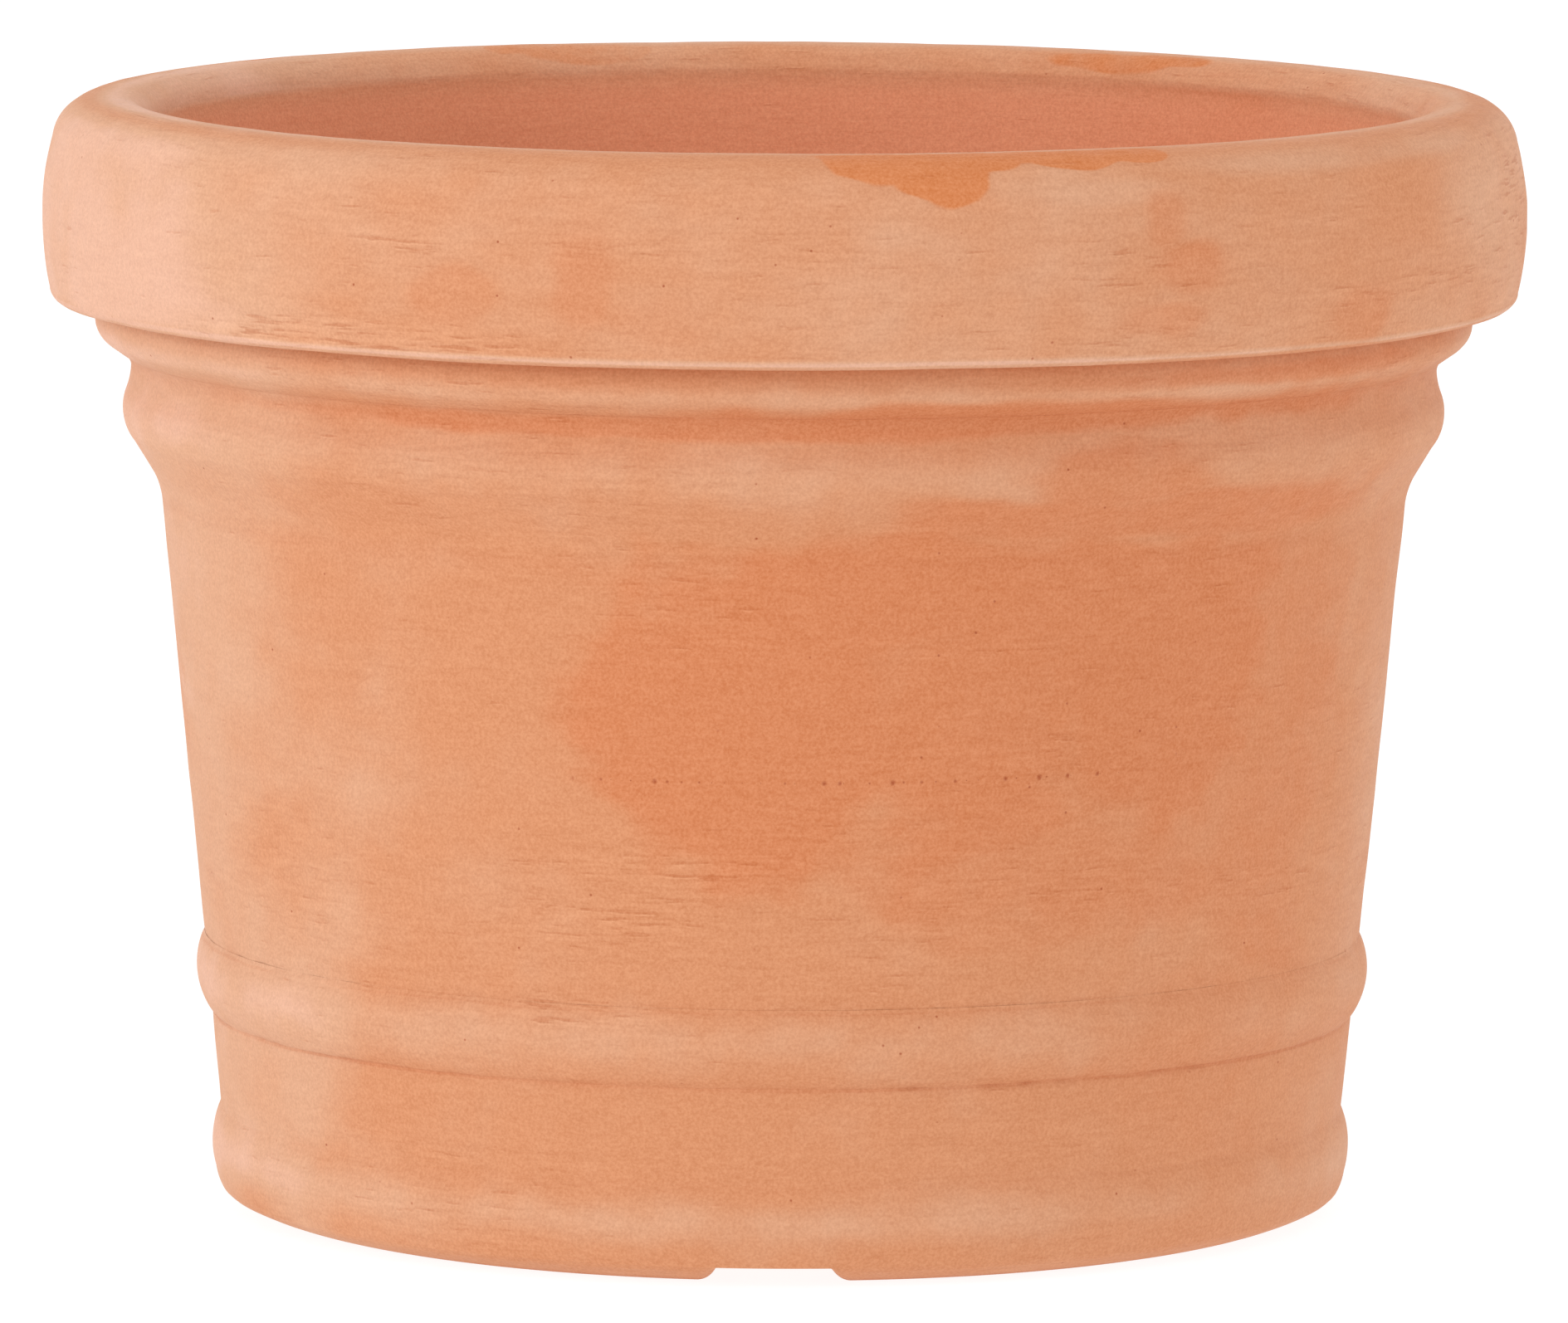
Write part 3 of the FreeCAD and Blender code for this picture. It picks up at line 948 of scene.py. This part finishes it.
def white_room():
    """Even white light from all round, a little stronger near the horizon than overhead."""
    world = bpy.data.worlds.new("white_room")
    bpy.context.scene.world = world
    world.use_nodes = True
    sky = world.node_tree.nodes["Background"]
    sky.inputs["Color"].default_value = (1.0, 1.0, 1.0, 1)
    add, link = world.node_tree.nodes.new, world.node_tree.links.new
    height = add("ShaderNodeSeparateXYZ")
    link(add("ShaderNodeTexCoord").outputs["Generated"], height.inputs[0])
    fade = add("ShaderNodeMapRange")
    fade.inputs["To Min"].default_value = HORIZON_LIGHT
    fade.inputs["To Max"].default_value = ZENITH_LIGHT
    link(height.outputs["Z"], fade.inputs["Value"])
    link(fade.outputs["Result"], sky.inputs["Strength"])
    bpy.context.scene.view_settings.view_transform = "Standard"


def front_camera():
    """A long lens a little above the rim, looking slightly down at the front notch."""
    lens = bpy.data.cameras.new("camera")
    lens.sensor_width = 36
    lens.lens = CAMERA_LENS
    lens.shift_x = CAMERA_SHIFT
    lens.clip_end = 100
    camera = bpy.data.objects.new("camera", lens)
    bpy.context.scene.collection.objects.link(camera)
    camera.location = (
        CAMERA_DISTANCE * math.sin(CAMERA_BEARING),
        -CAMERA_DISTANCE * math.cos(CAMERA_BEARING),
        CAMERA_HEIGHT,
    )
    camera.rotation_mode = "XYZ"
    camera.rotation_euler = (math.pi / 2 - CAMERA_PITCH, 0, CAMERA_BEARING)
    camera.rotation_euler.rotate_axis("Z", CAMERA_ROLL)
    bpy.context.scene.camera = camera


# ---------------------------------------------------------------- build

CLAY = clay_material()
PAD_MIDDLES = {"foot_pad_back": math.pi, "foot_pad_left": -math.pi / 3, "foot_pad_right": math.pi / 3}


def build_pot():
    """All ten clay members, each in place of its CAD node."""
    slab_edge = outline((bore_radius(FOOT_TOP), FOOT_TOP), ((SLAB_RADIUS, SLAB_TOP), MEDIUM))
    foot_under = outline((SLAB_RADIUS, NOTCH_HEIGHT), ((PAD_OUTER, NOTCH_HEIGHT), MEDIUM))
    foot_bore = np.vstack([slab_edge, foot_under[:-1]])
    ring("foot_band", foot_skin(), foot_bore, FOOT_ALONG)
    ring("body_wall", wall_skin(), bore_line(NECK_BOTTOM, FOOT_TOP), WALL_ALONG, BAND_SEAMS)
    ring("neck_ring", neck_skin(), bore_line(NECK_TOP, NECK_BOTTOM), NECK_ALONG)
    ring("rim_bead", bead_skin(), bore_line(BEAD_TOP, NECK_TOP), BEAD_ALONG)
    lip = bore_line(LIP_HEIGHT, RIM_BOTTOM, MEDIUM)[1:]
    ring("rim_roll", rim_skin(), lip, RIM_ALONG, RIM_SEAMS)
    band_back = outline(wall_point(BAND_TOP - 1 * MM), (wall_point(BAND_BOTTOM + 1 * MM), 2 * MEDIUM))
    ring("lower_band", band_skin(), band_back, SEAM_BAND_BOTTOM, BAND_SEAMS)
    floor_slab()
    for node, middle in PAD_MIDDLES.items():
        foot_pad(node, middle)


build_pot()
studio_floor()
white_room()
key_light((cad_low + cad_high) / 2)
front_camera()
